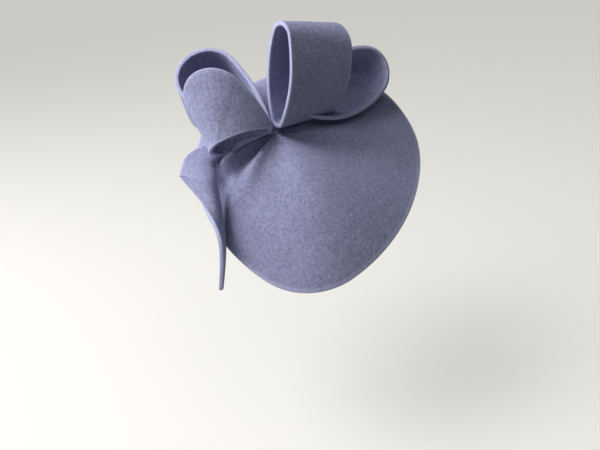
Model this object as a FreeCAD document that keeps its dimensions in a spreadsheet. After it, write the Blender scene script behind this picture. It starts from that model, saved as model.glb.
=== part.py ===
import FreeCAD, Part
import math
import os
import Sketcher
from FreeCAD import Placement, Rotation, Vector

# Felt fascinator headpiece, in millimetres. The hat is drawn flat: the rim lies in the XY plane, the
# crown rises along +Z and the head seat is the origin. Every finished piece is then tipped forward
# by display_tilt about X, which is how the hat sits on a head.

doc = FreeCAD.newDocument("fascinator_headpiece")

SIZES = [
    # felt and sewing
    ("felt_thick", 3.2, "thickness of the stiffened wool felt"),
    ("seam_gap", 0.3, "space between two layers that are sewn together"),
    ("display_tilt", 38, "forward tip of the whole hat, degrees"),
    # outline of the felt base: an egg with its small end at the front
    ("brim_long", 213, "front point to back edge"),
    ("brim_end_radius", 93, "radius of the back edge"),
    ("brim_tip_radius", 57, "radius of the front point"),
    ("brim_side_radius", 146, "radius of the two sides"),
    ("brim_turn", -2.8, "turn of the egg about the crown axis, degrees"),
    # crown
    ("crown_rise", 42, "height of the crown's top above the rim"),
    ("knot_across", -21.5, "top of the crown, sideways from the middle"),
    ("knot_back", 12, "top of the crown, backwards from the middle"),
    ("knot_lift", 3, "pinch of the bow above the crown's top"),
    # head oval of the petersham band
    ("band_long", 128, "length of the head oval"),
    ("band_end_radius", 56, "radius at the back of the head oval"),
    ("band_tip_radius", 50, "radius at the front of the head oval"),
    ("band_side_radius", 88, "radius at the sides of the head oval"),
    ("band_tall", 14, "width of the petersham ribbon"),
    ("band_thick", 0.9, "thickness of the petersham ribbon"),
    # centre loop, the upright one: its near edge, then its far edge
    ("centre_long", 80.5, "height of the loop at its near edge"),
    ("centre_end_radius", 11.5, "radius of the rounded end at the near edge"),
    ("centre_tip_radius", 7.7, "radius at the pinch of the near edge"),
    ("centre_side_radius", 92, "radius of the two runs at the near edge"),
    ("centre_far_long", 74, "height of the loop at its far edge"),
    ("centre_far_end_radius", 19, "radius of the rounded end at the far edge"),
    ("centre_far_tip_radius", 7.7, "radius at the pinch of the far edge"),
    ("centre_far_side_radius", 63.5, "radius of the two runs at the far edge"),
    # right loop: its near edge, then its far edge, which fan apart from the pinch
    ("right_long", 94.5, "length of the loop at its near edge"),
    ("right_end_radius", 21.7, "radius of the rounded end at the near edge"),
    ("right_tip_radius", 6, "radius at the pinch of the near edge"),
    ("right_side_radius", 72, "radius of the two runs at the near edge"),
    ("right_far_long", 76, "length of the loop at its far edge"),
    ("right_far_end_radius", 19, "radius of the rounded end at the far edge"),
    ("right_far_tip_radius", 6, "radius at the pinch of the far edge"),
    ("right_far_side_radius", 70, "radius of the two runs at the far edge"),
    # large left loop, a strip that stands on its edge
    ("left_long", 95, "length of the loop"),
    ("left_end_radius", 26, "radius of the rounded end"),
    ("left_tip_radius", 5.7, "radius at the pinch"),
    ("left_side_radius", 164, "radius of the two runs"),
    ("left_wide", 50, "width of the strip"),
    # small left loop: its two edges, which fan apart from the pinch
    ("low_long", 52, "length at the lower edge"),
    ("low_end_radius", 13.5, "radius of the rounded end at the lower edge"),
    ("low_tip_radius", 4, "radius at the pinch of the lower edge"),
    ("low_side_radius", 40, "radius of the runs at the lower edge"),
    ("high_long", 71, "length at the upper edge"),
    ("high_end_radius", 26, "radius of the rounded end at the upper edge"),
    ("high_tip_radius", 5, "radius at the pinch of the upper edge"),
    ("high_side_radius", 110, "radius of the runs at the upper edge"),
    # hair comb
    ("comb_long", 42, "length of the comb's spine"),
    ("spine_wire", 2.2, "diameter of the spine"),
    ("tooth_wire", 1.2, "diameter of a tooth"),
    ("tooth_ball", 1.7, "diameter of the ball at a tooth's tip"),
    ("tooth_long", 34, "length of a tooth along its curve"),
    ("tooth_bend", 90, "radius of a tooth's curve"),
    ("tooth_count", 13, "number of teeth"),
    ("comb_across", -1, "middle of the comb, sideways from the middle"),
    ("comb_front", -42, "middle of the comb, backwards from the middle"),
    ("comb_slope", -18, "slope of the comb's seat, degrees"),
    ("comb_droop", 14, "how far the teeth hang away from the seat, degrees"),
    ("comb_play", 0.1, "running clearance of the spine in its thread loops"),
    ("thread_wire", 0.7, "diameter of the sewing thread loops"),
    ("stitch_count", 4, "number of thread loops"),
    ("tab_long", 46, "length of the tab that carries the comb"),
    ("tab_wide", 13, "width of the tab"),
    ("tab_thick", 6, "thickness of the tab at its middle"),
]

sheet = doc.addObject("Spreadsheet::Sheet", "Sizes")
for row, (alias, number, meaning) in enumerate(SIZES, start=1):
    sheet.set(f"A{row}", alias)
    sheet.set(f"B{row}", str(number))
    sheet.setAlias(f"B{row}", alias)
    sheet.set(f"C{row}", meaning)
doc.recompute()


def size(alias):
    return float(sheet.get(alias))


# Soft folds of the base, seen from the pinch: direction and half spread in degrees, height in
# millimetres (a valley is negative) and how late the fold peaks on its way to the rim.
FOLDS = [
    (32, 24, 8.0, 3.0),
    (-10, 20, -4.0, 1.2),
    (-62, 32, 5.0, 1.0),
    (-118, 20, -6.0, 1.0),
    (-155, 20, 4.0, 1.2),
]
CROWN_FULLNESS = (0.55, 0.30, 60)   # mean, swing and direction of the steepness next to the pinch
PEAK_ROUNDING = 0.05                # rounds the crown's top, as a share of the way to the rim
GRID_STEP = 8.0                     # spacing of the points that the crown's surface passes through
DEEP = 150.0                        # longer than anything that is cut

# Loops: where the pinch lies from the knot, then the directions of the loop and of the strip's width,
# each as a heading about the crown axis and a lift above the rim plane, in degrees.
LOOPS = {
    "centre": ((-0.9, 1.8, 2), (77.4, 56.7), (28.6, -23.5)),
    "centre_far": ((39.9, 26.8, -18.5), (70.3, 59.9), (28.6, -23.5)),
    "right": ((16, 13.6, 6.9), (34.1, -7.5), (132.8, -49)),
    "right_far": ((10.6, 19.4, -2.2), (48, -22.3), (159.4, -41.6)),
    "left": ((-5.4, 0.7, 1.9), (133.5, 6), (86.4, -81.2)),
    "low": ((-3, -1, 5), (-162, -2), (109, 10)),
    "high": ((-4.4, 1.5, 8), (159, 21), (78, -22)),
}
FAN_LOOPS = {
    "centre": ("centre", "centre_far"),
    "right": ("right", "right_far"),
    "small": ("low", "high"),
}

# Tail: four poles across the strip (base side, middle, fold, cut edge) in seven rows from the pinch to
# the point, measured from the knot.
TAIL_POLES = [
    [(-15, -1, -6), (-15, 2, -6), (-18, 6, -7), (-21, 9, -8)],
    [(-52, -9, -22), (-57, 0, -18), (-63, 6, -13), (-67, 11, -7)],
    [(-47, -35, -24), (-57, -33, -20), (-68, -32, -12), (-74, -29, -5)],
    [(-47, -53, -32), (-53, -54, -28), (-62, -56, -19), (-56, -56, -10)],
    [(-46, -71, -39), (-49, -72, -33), (-52, -74, -26), (-45, -75, -21)],
    [(-48, -89, -46), (-50, -89, -43), (-52, -90, -37), (-46, -91, -33)],
    [(-50, -106, -54), (-51, -106, -53), (-52, -107, -50), (-50, -107, -49)],
]

HAT_TILT = Placement(Vector(0, 0, 0), Rotation(Vector(1, 0, 0), size("display_tilt")))
TOP_OF_CROWN = Vector(size("knot_across"), size("knot_back"), size("crown_rise"))
KNOT = TOP_OF_CROWN + Vector(0, 0, size("knot_lift"))


# ---------------------------------------------------------------- egg outlines from four tangent arcs

def egg_arcs(length, end_radius, tip_radius, side_radius):
    """Centre, radius, start and end angle of the four arcs, with the small end's tip at the origin."""
    span = length - end_radius - tip_radius
    to_tip = side_radius - tip_radius
    to_end = side_radius - end_radius
    along = (to_tip ** 2 - to_end ** 2 + span ** 2) / (2 * span)
    below = math.sqrt(to_tip ** 2 - along ** 2)
    end_angle = math.atan2(below, span - along)
    tip_angle = math.atan2(below, -along)
    full = 2 * math.pi
    return [
        (Vector(length - end_radius, 0, 0), end_radius, -end_angle, end_angle),
        (Vector(tip_radius + along, -below, 0), side_radius, end_angle, tip_angle),
        (Vector(tip_radius, 0, 0), tip_radius, tip_angle, full - tip_angle),
        (Vector(tip_radius + along, below, 0), side_radius, full - tip_angle, full - end_angle),
    ]


def add_egg(sketch, name, prefix, inset_by=()):
    """Draws the egg of one set of sizes into a sketch. inset_by moves it inwards: (1, size) or (-1, size)."""
    inset = sum(sign * size(alias) for sign, alias in inset_by)
    arcs = egg_arcs(
        size(f"{prefix}_long") - 2 * inset,
        size(f"{prefix}_end_radius") - inset,
        size(f"{prefix}_tip_radius") - inset,
        size(f"{prefix}_side_radius") - inset,
    )
    ids = []
    for centre, radius, start, end in arcs:
        circle = Part.Circle(centre + Vector(inset, 0, 0), Vector(0, 0, 1), radius)
        ids.append(sketch.addGeometry(Part.ArcOfCircle(circle, start, end), False))
    end_arc, upper, tip_arc, lower = ids
    for first, second in ((end_arc, upper), (upper, tip_arc), (tip_arc, lower), (lower, end_arc)):
        sketch.addConstraint(Sketcher.Constraint("Tangent", first, 2, second, 1))
    sketch.addConstraint(Sketcher.Constraint("PointOnObject", end_arc, 3, -1))
    sketch.addConstraint(Sketcher.Constraint("PointOnObject", tip_arc, 3, -1))
    sketch.addConstraint(Sketcher.Constraint("Equal", upper, lower))
    shift = "(" + " + ".join(["0"] + [f"({sign}) * Sizes.{alias}" for sign, alias in inset_by]) + ")"
    named = [
        ("end_radius", "Radius", (end_arc,), arcs[0][1], f"Sizes.{prefix}_end_radius - {shift}"),
        ("tip_radius", "Radius", (tip_arc,), arcs[2][1], f"Sizes.{prefix}_tip_radius - {shift}"),
        ("side_radius", "Radius", (upper,), arcs[1][1], f"Sizes.{prefix}_side_radius - {shift}"),
        ("tip_at", "DistanceX", (-1, 1, tip_arc, 3), arcs[2][0].x + inset, f"Sizes.{prefix}_tip_radius"),
        ("end_at", "DistanceX", (-1, 1, end_arc, 3), arcs[0][0].x + inset,
         f"Sizes.{prefix}_long - Sizes.{prefix}_end_radius"),
    ]
    for label, kind, targets, number, expression in named:
        index = sketch.addConstraint(Sketcher.Constraint(kind, *targets, number))
        sketch.renameConstraint(index, f"{name}_{label}")
        sketch.setExpression(f"Constraints.{name}_{label}", expression)


def plane_of(body, role):
    return next(feature for feature in body.Origin.OriginFeatures if feature.Role == role)


def body_sketch(body, name, role):
    sketch = body.newObject("Sketcher::SketchObject", name)
    sketch.AttachmentSupport = [(plane_of(body, role), "")]
    sketch.MapMode = "FlatFace"
    return sketch


def direction(heading_lift):
    heading, lift = (math.radians(angle) for angle in heading_lift)
    return Vector(
        math.cos(heading) * math.cos(lift), math.sin(heading) * math.cos(lift), math.sin(lift)
    )


def loop_placement(loop):
    """The pinch as origin, X out along the loop and Z along the strip's width."""
    pinch, out, width = LOOPS[loop]
    along = direction(out)
    across = direction(width)
    across = (across - along * across.dot(along)).normalize()
    return Placement(KNOT + Vector(*pinch), Rotation(along, across.cross(along), across, "XYZ"))


# ---------------------------------------------------------------- felt base

def brim_arcs():
    """The outline's arcs in the hat's frame."""
    turn = math.radians(90 + size("brim_turn"))
    sizes = [size(f"brim_{part}") for part in ("long", "end_radius", "tip_radius", "side_radius")]
    place = Placement(Vector(0, 0, 0), Rotation(Vector(0, 0, 1), math.degrees(turn)))
    half = Vector(sizes[0] / 2, 0, 0)
    return [
        (place.multVec(centre - half), radius, start + turn, end + turn)
        for centre, radius, start, end in egg_arcs(*sizes)
    ]


BRIM_ARCS = brim_arcs()


def rim_distance(angle):
    """Distance from the crown's top to the outline, seen from above, in one direction."""
    ray = Vector(math.cos(angle), math.sin(angle), 0)
    top = Vector(TOP_OF_CROWN.x, TOP_OF_CROWN.y, 0)
    for centre, radius, start, end in BRIM_ARCS:
        offset = top - centre
        reach = offset.dot(ray)
        inside = reach ** 2 - offset.dot(offset) + radius ** 2
        if inside < 0:
            continue
        distance = math.sqrt(inside) - reach
        hit = top + ray * distance - centre
        past_start = (math.atan2(hit.y, hit.x) - start) % (2 * math.pi)
        if distance > 0 and past_start <= end - start + 1e-9:
            return distance
    raise ValueError("the crown's top lies outside the brim")


def crown_height(across, back):
    """Height of the felt's upper side: a soft cone from the pinch to the rim, with radial folds."""
    from_top = Vector(across, back, 0) - Vector(TOP_OF_CROWN.x, TOP_OF_CROWN.y, 0)
    angle = math.atan2(from_top.y, from_top.x)
    way = from_top.Length / rim_distance(angle)
    way = math.sqrt(way ** 2 + PEAK_ROUNDING ** 2) - PEAK_ROUNDING
    mean, swing, steepest = CROWN_FULLNESS
    steep = mean + swing * math.cos(angle - math.radians(steepest))
    height = size("crown_rise") * (1 - steep * way - (1 - steep) * way ** 2)
    for heading, spread, amount, late in FOLDS:
        turn = (math.degrees(angle) - heading + 180) % 360 - 180
        peak = (late / (late + 1)) ** late / (late + 1)
        height += amount * math.exp(-(turn / spread) ** 2) * way ** late * (1 - way) / peak
    return height


def lowered_height(across, back, depth):
    """Height of the surface that lies depth below the upper side, square to it."""
    step = 1.0
    slope_x = (crown_height(across + step, back) - crown_height(across - step, back)) / (2 * step)
    slope_y = (crown_height(across, back + step) - crown_height(across, back - step)) / (2 * step)
    return crown_height(across, back) - depth * math.sqrt(1 + slope_x ** 2 + slope_y ** 2)


def space_under(name, depth, margin):
    """A solid that fills everything below the crown's surface, lowered square to it by depth."""
    reach = size("brim_long") / 2 + margin
    steps = round(2 * reach / GRID_STEP)
    places = [-reach + 2 * reach * index / steps for index in range(steps + 1)]
    rows = [[Vector(x, y, lowered_height(x, y, depth)) for y in places] for x in places]
    surface = Part.BSplineSurface()
    surface.interpolate(rows)
    feature = doc.addObject("Part::Feature", name)
    feature.Shape = surface.toShape().extrude(Vector(0, 0, -DEEP))
    return feature


def prism(name, eggs, turn=90.0, middle=0.0):
    """A tall prism on egg outlines, with the eggs' middle at the head seat."""
    sketch = doc.addObject("Sketcher::SketchObject", f"{name}_outline")
    for label, prefix, inset_by in eggs:
        add_egg(sketch, label, prefix, inset_by)
    rotation = Rotation(Vector(0, 0, 1), turn)
    sketch.Placement = Placement(rotation.multVec(Vector(-middle, 0, -DEEP / 2)), rotation)
    solid = doc.addObject("Part::Extrusion", name)
    solid.Base = sketch
    solid.DirMode = "Normal"
    solid.LengthFwd = DEEP
    solid.Solid = True
    return solid


def combine(kind, name, base, tool):
    """A Part boolean of two objects, such as Part::Cut or Part::Common."""
    result = doc.addObject(kind, name)
    result.Base = base
    result.Tool = tool
    return result


def finish(feature, label):
    """Tips a finished piece into its worn position and names it."""
    feature.Label = label
    feature.Placement = HAT_TILT.multiply(feature.Placement)
    return feature


def make_felt_base():
    """One sheet of felt, blocked to a soft cone and cut to an egg outline."""
    middle = size("brim_long") / 2
    turn = 90 + size("brim_turn")
    outline = prism("brim_cut", [("brim", "brim", ())], turn, middle)
    above = space_under("crown_upper_side", 0, 14)
    below = space_under("crown_under_side", size("felt_thick"), 20)
    sheet_of_felt = combine("Part::Cut", "blocked_felt", above, below)
    return finish(combine("Part::Common", "felt_base_solid", sheet_of_felt, outline), "felt_base")


# ---------------------------------------------------------------- petersham band

def make_petersham_band():
    """A ribbon on edge round the head oval. Its upper edge follows the felt's under side."""
    ribbon = prism(
        "band_oval",
        [("outer", "band", ()), ("inner", "band", [(1, "band_thick")])],
        90,
        size("band_long") / 2,
    )
    top = size("felt_thick") + size("seam_gap")
    above = space_under("band_top_side", top, 20)
    below = space_under("band_bottom_side", top + size("band_tall"), 23)
    layer = combine("Part::Cut", "band_layer", above, below)
    return finish(combine("Part::Common", "band_solid", ribbon, layer), "petersham_band")


# ---------------------------------------------------------------- bow loops

def loop_body(loop):
    """A closed strip of felt: an egg-shaped ring, as deep as the strip is wide."""
    body = doc.addObject("PartDesign::Body", f"{loop}_strip")
    ring = body_sketch(body, f"{loop}_ring", "XY_Plane")
    add_egg(ring, "outer", loop)
    add_egg(ring, "inner", loop, [(1, "felt_thick")])
    strip = body.newObject("PartDesign::Pad", f"{loop}_pad")
    strip.Profile = ring
    strip.setExpression("Length", f"Sizes.{loop}_wide")
    ring.Visibility = False
    body.Placement = loop_placement(loop)
    return body


def fan_body(loop, name, grow=0, open_middle=True):
    """A loop whose two edges are different eggs that fan apart. grow widens its felt by seams all round."""
    near, far = FAN_LOOPS[loop]
    body = doc.addObject("PartDesign::Body", name)
    first = loop_placement(near)
    to_far = first.inverse().multiply(loop_placement(far))
    apart = Placement(Vector(0, 0, grow * size("seam_gap")), Rotation())
    for kind, side, inset_by in (
        ("PartDesign::AdditiveLoft", "outside", [(-grow, "seam_gap")]),
        ("PartDesign::SubtractiveLoft", "inside", [(1, "felt_thick"), (grow, "seam_gap")]),
    )[:2 if open_middle else 1]:
        edges = []
        for edge, offset in ((near, apart.inverse()), (far, to_far.multiply(apart))):
            sketch = body_sketch(body, f"{name}_{side}_{edge}", "XY_Plane")
            sketch.AttachmentOffset = offset
            add_egg(sketch, edge, edge, inset_by)
            edges.append(sketch)
        loft = body.newObject(kind, f"{name}_{side}")
        loft.Profile = edges[0]
        loft.Sections = [edges[1]]
    body.Placement = first
    return body


def room_of(loop, open_middle=True):
    """What a neighbour is cut back from: a loop's felt, or the whole loop, with a seam's room all round."""
    name = f"{loop}_{'room' if open_middle else 'core'}"
    if loop in FAN_LOOPS:
        return fan_body(loop, name, 1, open_middle)
    sketch = doc.addObject("Sketcher::SketchObject", f"{name}_ring")
    add_egg(sketch, "outer", loop, [(-1, "seam_gap")])
    if open_middle:
        add_egg(sketch, "inner", loop, [(1, "felt_thick"), (1, "seam_gap")])
    sketch.Placement = loop_placement(loop).multiply(Placement(Vector(0, 0, -size("seam_gap")), Rotation()))
    room = doc.addObject("Part::Extrusion", name)
    room.Base = sketch
    room.DirMode = "Normal"
    room.setExpression("LengthFwd", f"Sizes.{loop}_wide + 2 * Sizes.seam_gap")
    room.Solid = True
    return room


def cut_back(name, piece, tools):
    """Cuts a piece back from each neighbour that it is sewn against."""
    for index, tool in enumerate(tools, start=1):
        piece = combine("Part::Cut", f"{name}_cut_{index}", piece, tool)
    return piece


def pinch_trim():
    """A small ball where the right loop's far edge is sewn flat, so that no scrap is left under the centre loop."""
    ball = doc.addObject("Part::Sphere", "right_pinch_trim")
    ball.Placement.Base = KNOT + Vector(18.5, 20.4, -9.7)
    ball.setExpression("Radius", "2 * Sizes.felt_thick")
    return ball


def make_loops(ground):
    """The four loops of the bow. The centre loop is whole and the others are sewn against it."""
    centre_room, right_room, left_room = (room_of(loop) for loop in ("centre", "right", "left"))
    neighbours = {
        "centre": [ground],
        "right": [ground, room_of("centre", open_middle=False), pinch_trim()],
        "left": [ground, centre_room, right_room],
        "small": [ground, centre_room, left_room],
    }
    labels = {
        "centre": "loop_centre",
        "right": "loop_right",
        "left": "loop_left_large",
        "small": "loop_left_small",
    }
    pieces = []
    for loop, tools in neighbours.items():
        body = fan_body(loop, f"{loop}_strip") if loop in FAN_LOOPS else loop_body(loop)
        pieces.append(finish(cut_back(loop, body, tools), labels[loop]))
    return pieces


# ---------------------------------------------------------------- tail

def clamped_knots(pole_count, degree):
    """Knots and multiplicities of a clamped, evenly spaced B-spline."""
    spans = pole_count - degree
    return list(range(spans + 1)), [degree + 1] + [1] * (spans - 1) + [degree + 1]


def make_tail(tools):
    """The loose end of the felt strip: it hangs over the left of the base and its cut edge curls over."""
    poles = [[KNOT + Vector(*pole) for pole in row] for row in TAIL_POLES]
    degree_down, degree_across = 2, 3
    knots_down, repeats_down = clamped_knots(len(poles), degree_down)
    knots_across, repeats_across = clamped_knots(len(poles[0]), degree_across)
    surface = Part.BSplineSurface()
    surface.buildFromPolesMultsKnots(
        poles, repeats_down, repeats_across, knots_down, knots_across, False, False,
        degree_down, degree_across,
    )
    strip = doc.addObject("Part::Feature", "tail_strip")
    strip.Shape = surface.toShape().makeOffsetShape(size("felt_thick"), 0.01, fill=True)
    return finish(cut_back("tail", strip, tools), "tail")


# ---------------------------------------------------------------- comb, its tab and its thread loops

def comb_seat():
    """The middle of the tab's lower face, with X along the comb and Y the way the teeth point."""
    across, front = size("comb_across"), size("comb_front")
    height = lowered_height(across, front, size("felt_thick") + size("tab_thick"))
    return Placement(Vector(across, front, height), Rotation(Vector(1, 0, 0), size("comb_slope")))


def spine_depth():
    """How far the spine's axis lies below the tab, so that the thread loops just clear both."""
    return size("seam_gap") + size("thread_wire") + size("comb_play") + size("spine_wire") / 2


def make_comb_tab():
    """A folded tab under the crown, flat below, where the comb is sewn on."""
    block = doc.addObject("Part::Box", "tab_block")
    block.setExpression("Length", "Sizes.tab_long")
    block.setExpression("Width", "Sizes.tab_wide")
    block.setExpression("Height", "4 * Sizes.tab_thick")
    corner = Vector(-size("tab_long") / 2, -size("tab_wide") / 2, 0)
    block.Placement = comb_seat().multiply(Placement(corner, Rotation()))
    room = space_under("tab_top_side", size("felt_thick") + size("seam_gap"), 20)
    return finish(combine("Part::Common", "tab_solid", block, room), "comb_tab")


def comb_placement():
    """The spine's middle, with Y along the hanging teeth."""
    seat = comb_seat().multiply(Placement(Vector(0, 0, -spine_depth()), Rotation()))
    return seat.multiply(Placement(Vector(), Rotation(Vector(1, 0, 0), -size("comb_droop"))))


def make_hair_comb():
    """A wire comb: a round spine and a row of curved teeth with balled tips."""
    body = doc.addObject("PartDesign::Body", "comb_wire")
    spine_ring = body_sketch(body, "spine_ring", "YZ_Plane")
    ring = spine_ring.addGeometry(Part.Circle(Vector(), Vector(0, 0, 1), size("spine_wire") / 2), False)
    spine_ring.addConstraint(Sketcher.Constraint("Coincident", ring, 3, -1, 1))
    index = spine_ring.addConstraint(Sketcher.Constraint("Diameter", ring, size("spine_wire")))
    spine_ring.setExpression(f"Constraints[{index}]", "Sizes.spine_wire")
    spine_ring.AttachmentOffset = Placement(Vector(0, 0, -size("comb_long") / 2), Rotation())
    spine = body.newObject("PartDesign::Pad", "spine")
    spine.Profile = spine_ring
    spine.setExpression("Length", "Sizes.comb_long")

    count = int(size("tooth_count"))
    pitch = (size("comb_long") - size("spine_wire")) / (count - 1)
    bend = size("tooth_bend")
    places = [(index - (count - 1) / 2) * pitch for index in range(count)]
    tooth_rings = body_sketch(body, "tooth_rings", "XZ_Plane")
    tooth_rings.AttachmentOffset = Placement(Vector(0, -bend, 0), Rotation())
    for index, place in enumerate(places):
        circle = Part.Circle(Vector(place, bend, 0), Vector(0, 0, 1), size("tooth_wire") / 2)
        ring = tooth_rings.addGeometry(circle, False)
        for kind, targets, number, expression in (
            ("Diameter", (ring,), size("tooth_wire"), "Sizes.tooth_wire"),
            ("DistanceY", (-1, 1, ring, 3), bend, "Sizes.tooth_bend"),
            ("DistanceX", (-1, 1, ring, 3), place,
             f"({index} / (Sizes.tooth_count - 1) - 0.5) * (Sizes.comb_long - Sizes.spine_wire)"),
        ):
            constraint = tooth_rings.addConstraint(Sketcher.Constraint(kind, *targets, number))
            tooth_rings.setExpression(f"Constraints[{constraint}]", expression)
    teeth = body.newObject("PartDesign::Revolution", "teeth")
    teeth.Profile = tooth_rings
    teeth.ReferenceAxis = (tooth_rings, ["H_Axis"])
    teeth.setExpression("Angle", "Sizes.tooth_long / Sizes.tooth_bend * 180 / pi")
    teeth.Reversed = True

    sweep = size("tooth_long") / bend
    for index, place in enumerate(places):
        ball = body.newObject("PartDesign::AdditiveSphere", f"tooth_tip_{index + 1}")
        ball.setExpression("Radius", "Sizes.tooth_ball / 2")
        ball.Placement = Placement(
            Vector(place, bend * math.sin(sweep), bend * math.cos(sweep) - bend), Rotation()
        )
    body.Placement = comb_placement()
    return finish(body, "hair_comb"), pitch


def make_comb_stitches(pitch):
    """Loops of thread round the spine, each midway between two teeth."""
    loop_radius = size("spine_wire") / 2 + size("comb_play") + size("thread_wire") / 2
    count = int(size("stitch_count"))
    gaps = int(size("tooth_count")) - 1
    seat = comb_seat().multiply(Placement(Vector(0, 0, -spine_depth()), Rotation()))
    loops = []
    for index in range(count):
        gap = round((index + 0.5) * gaps / count - 0.5)
        place = Vector((gap + 0.5 - gaps / 2) * pitch, 0, 0)
        loop = doc.addObject("Part::Torus", f"thread_loop_{index + 1}")
        loop.Radius1 = loop_radius
        loop.setExpression("Radius2", "Sizes.thread_wire / 2")
        loop.Placement = seat.multiply(Placement(place, Rotation(Vector(0, 1, 0), 90)))
        loops.append(loop)
    group = doc.addObject("Part::Compound", "comb_stitch_group")
    group.Links = loops
    return finish(group, "comb_stitches")


# ---------------------------------------------------------------- build, check and write

ground = space_under("seat_on_base", -size("seam_gap"), 14)
comb, tooth_pitch = make_hair_comb()
pieces = [make_felt_base(), make_petersham_band(), *make_loops(ground)]
pieces.append(make_tail([ground, room_of("left", open_middle=False)]))
pieces += [make_comb_tab(), comb, make_comb_stitches(tooth_pitch)]
doc.recompute()

for item in doc.Objects:
    if "Invalid" in item.State or "Error" in item.State:
        raise RuntimeError(f"{item.Name} did not build: {item.State}")
for piece in pieces:
    if piece.Shape.isNull() or not piece.Shape.isValid():
        raise RuntimeError(f"{piece.Label} has no valid shape")

os.makedirs("parts", exist_ok=True)
for piece in pieces:
    piece.Shape.exportStep(f"parts/{piece.Label}.step")
    box = piece.Shape.optimalBoundingBox(False)
    print(
        f"{piece.Label:18s} solids {len(piece.Shape.Solids)}  volume {piece.Shape.Volume:9.0f} mm3  "
        f"x {box.XMin:6.1f} {box.XMax:6.1f}  y {box.YMin:6.1f} {box.YMax:6.1f}  z {box.ZMin:6.1f} {box.ZMax:6.1f}"
    )
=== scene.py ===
# %% [markdown]
# # A felt fascinator, dressed from its solid model
# The real object is a small percher hat: one sheet of stiffened wool felt, blocked to a soft cone,
# with a sculpted bow of felt strips on top and a comb inside that holds it in the hair.
# The solid model gives every piece its place. This script gives every piece its surface.

# %% Load the fixed frame
import math

import bmesh
import bpy
import numpy as np
from mathutils import Matrix, Vector


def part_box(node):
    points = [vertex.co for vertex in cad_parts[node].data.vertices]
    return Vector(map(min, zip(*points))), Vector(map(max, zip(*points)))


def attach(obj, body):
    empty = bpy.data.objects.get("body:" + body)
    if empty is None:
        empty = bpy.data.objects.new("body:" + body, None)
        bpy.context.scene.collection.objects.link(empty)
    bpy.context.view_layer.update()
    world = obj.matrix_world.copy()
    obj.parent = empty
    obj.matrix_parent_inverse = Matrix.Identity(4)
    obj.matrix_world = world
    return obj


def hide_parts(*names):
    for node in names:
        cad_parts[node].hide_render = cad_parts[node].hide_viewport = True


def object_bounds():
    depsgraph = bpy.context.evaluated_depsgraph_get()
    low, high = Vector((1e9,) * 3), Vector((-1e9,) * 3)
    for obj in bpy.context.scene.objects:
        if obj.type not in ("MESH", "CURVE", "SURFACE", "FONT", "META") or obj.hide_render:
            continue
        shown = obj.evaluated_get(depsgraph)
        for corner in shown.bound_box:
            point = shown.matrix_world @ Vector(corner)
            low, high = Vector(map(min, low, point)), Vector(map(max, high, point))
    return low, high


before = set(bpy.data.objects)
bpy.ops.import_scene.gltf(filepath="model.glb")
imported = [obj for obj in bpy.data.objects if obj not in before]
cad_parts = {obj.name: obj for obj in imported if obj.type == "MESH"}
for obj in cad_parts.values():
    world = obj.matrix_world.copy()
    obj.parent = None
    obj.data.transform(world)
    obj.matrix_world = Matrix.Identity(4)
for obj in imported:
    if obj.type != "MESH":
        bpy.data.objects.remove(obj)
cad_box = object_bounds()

print("nodes:", ", ".join(sorted(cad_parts)))

# %% [markdown]
# ## Camera
# A camera is a place, a direction and a lens. The hat is seen from the front and a little above,
# from half a metre away. A matrix of three unit vectors (right, up, backwards) sets it exactly,
# which is easier to repeat than three angles.

# %% Place the camera
CAMERA_PLACE = Vector((-0.0087, -0.5201, 0.19075))
LOOK_DOWN = math.radians(24.45)
CAMERA_ROLL = math.radians(-3.63)
LENS_MM = 40.5

camera = bpy.data.objects.new("camera", bpy.data.cameras.new("camera"))
bpy.context.scene.collection.objects.link(camera)
camera.data.sensor_width = 36.0
camera.data.lens = LENS_MM
level = Matrix.Rotation(math.radians(90) - LOOK_DOWN, 4, "X")
rolled = level @ Matrix.Rotation(CAMERA_ROLL, 4, "Z")
camera.matrix_world = Matrix.Translation(CAMERA_PLACE) @ rolled
bpy.context.scene.camera = camera
print("camera looks along", [round(x, 3) for x in -(rolled.to_3x3() @ Vector((0, 0, 1)))])

# %% [markdown]
# ## Studio
# A pale floor lies well below the hat, where a stand would be standing. Three soft lamps on the
# left do a window's work: two high ones make the light side of every fold, and a low one comes in
# level with the sill. A weak lamp in front stands for the rest of the room, and the sky adds next
# to nothing, so the insides of the loops stay dark.

# %% Floor
def new_material(name):
    """An empty material with its shader and output in place."""
    material = bpy.data.materials.new(name)
    material.use_nodes = True
    tree = material.node_tree
    tree.nodes.clear()
    shader = tree.nodes.new("ShaderNodeBsdfPrincipled")
    output = tree.nodes.new("ShaderNodeOutputMaterial")
    tree.links.new(shader.outputs["BSDF"], output.inputs["Surface"])
    return material, tree, shader


def linear(red, green, blue):
    """A colour written as 0-255 on screen, as the shader wants it."""
    return tuple(
        part / 12.92 if part <= 0.04045 else ((part + 0.055) / 1.055) ** 2.4
        for part in (red / 255, green / 255, blue / 255)
    ) + (1.0,)


FLOOR_DEPTH = 0.235
FLOOR_GLOW = 0.58

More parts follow.
